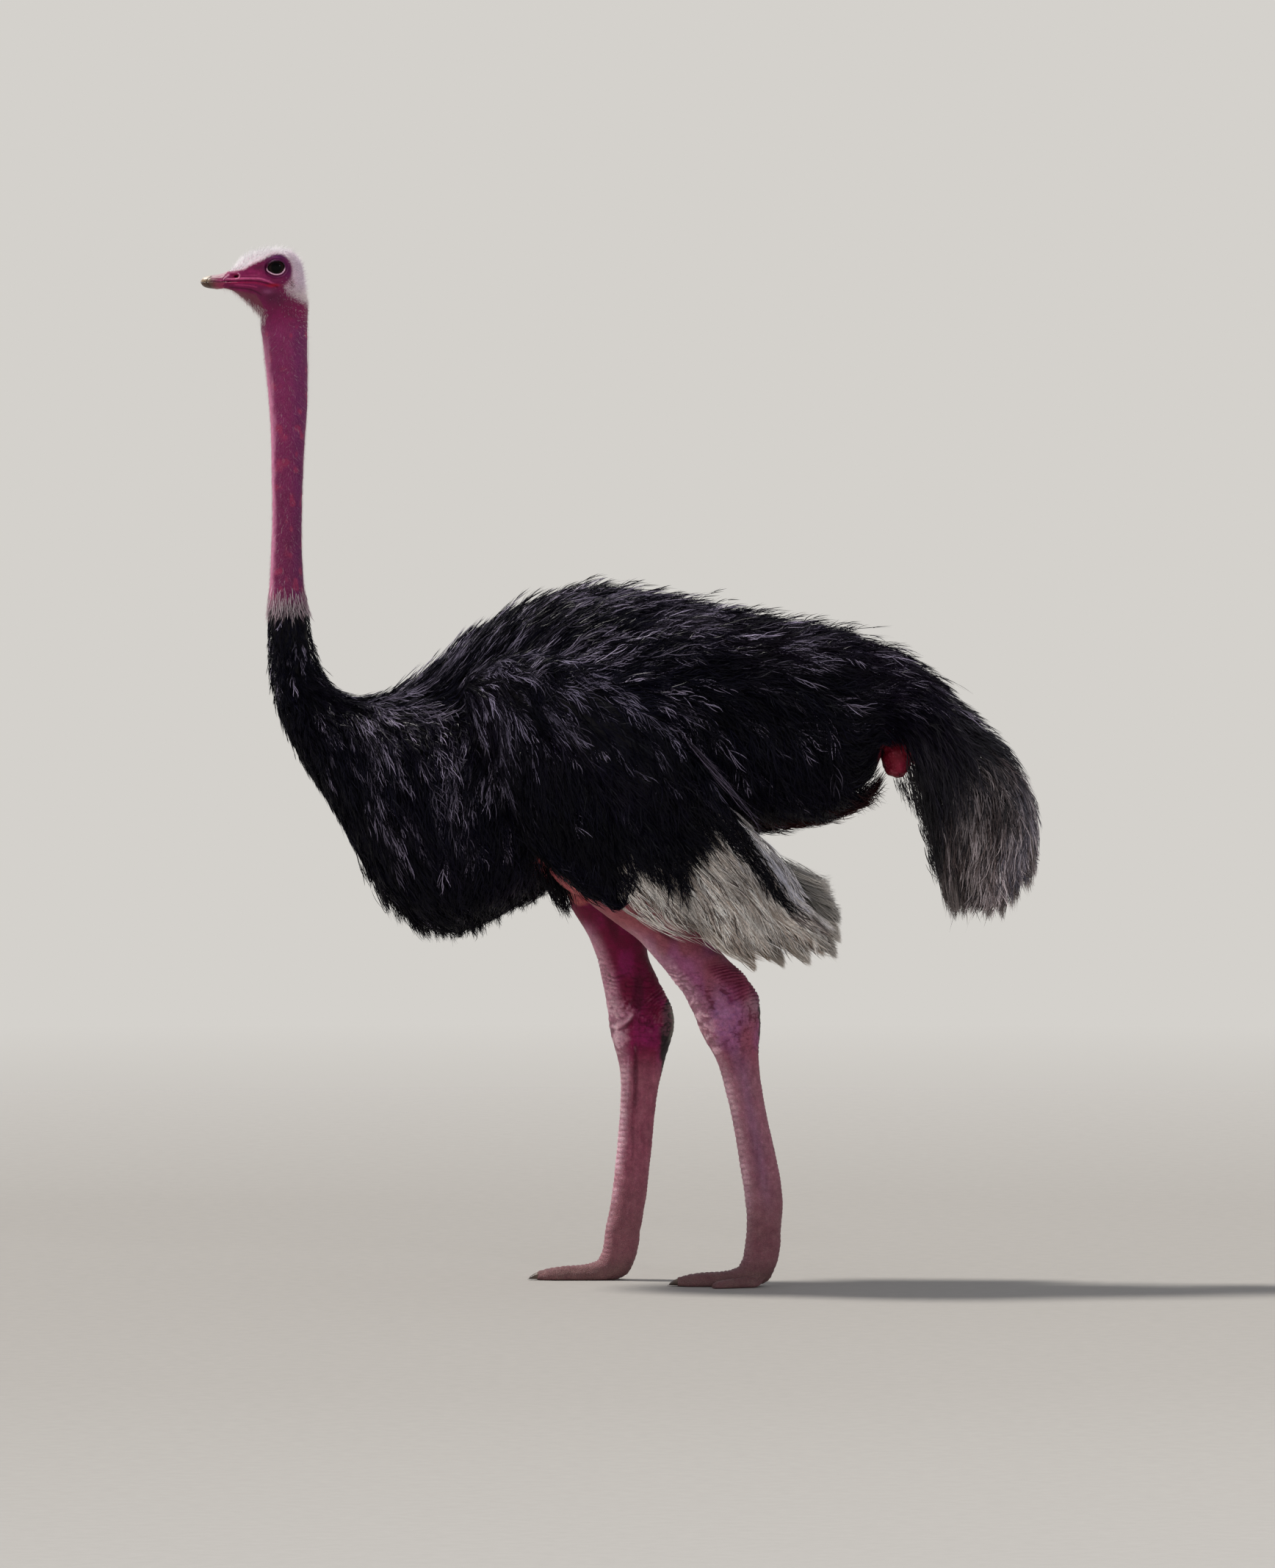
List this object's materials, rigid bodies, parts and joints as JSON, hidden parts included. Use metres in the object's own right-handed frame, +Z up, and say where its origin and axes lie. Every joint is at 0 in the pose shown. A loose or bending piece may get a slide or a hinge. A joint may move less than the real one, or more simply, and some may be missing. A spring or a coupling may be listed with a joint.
{
  "type": "ostrich model",
  "caption": "Life-size still model of a male Masai ostrich in mid stride, head up and wings folded, with pink neck and legs, black plumage and pale wing and tail plumes.",
  "frame": {"origin": "middle of the model's bounding box seen from above, at ground level between the feet", "axes": "the bird faces -X, its left side is -Y, and +Z is up"},
  "size_m": [1.8338, 0.613, 2.2618],
  "materials": {
    "skin": "satin",
    "plumage": "matte",
    "pale_plumes": "matte",
    "horn": "satin",
    "eye": "gloss",
    "vent": "satin"
  },
  "bodies": {
    "root": {"head": "skin", "bill_upper": "horn", "bill_lower": "horn", "eye_left": "eye", "eye_right": "eye", "neck_upper": "skin", "neck_middle": "skin", "neck_lower": "plumage", "trunk": "plumage", "tail": "plumage", "vent": "vent", "wing_left": "plumage", "wing_right": "plumage", "wing_plumes_left": "pale_plumes", "wing_plumes_right": "pale_plumes", "shank_left": "skin", "shank_right": "skin", "tarsus_left": "skin", "tarsus_right": "skin", "toe_inner_left": "skin", "toe_inner_right": "skin", "toe_outer_left": "skin", "toe_outer_right": "skin", "claw_left": "horn", "claw_right": "horn"}
  },
  "joints": []
}
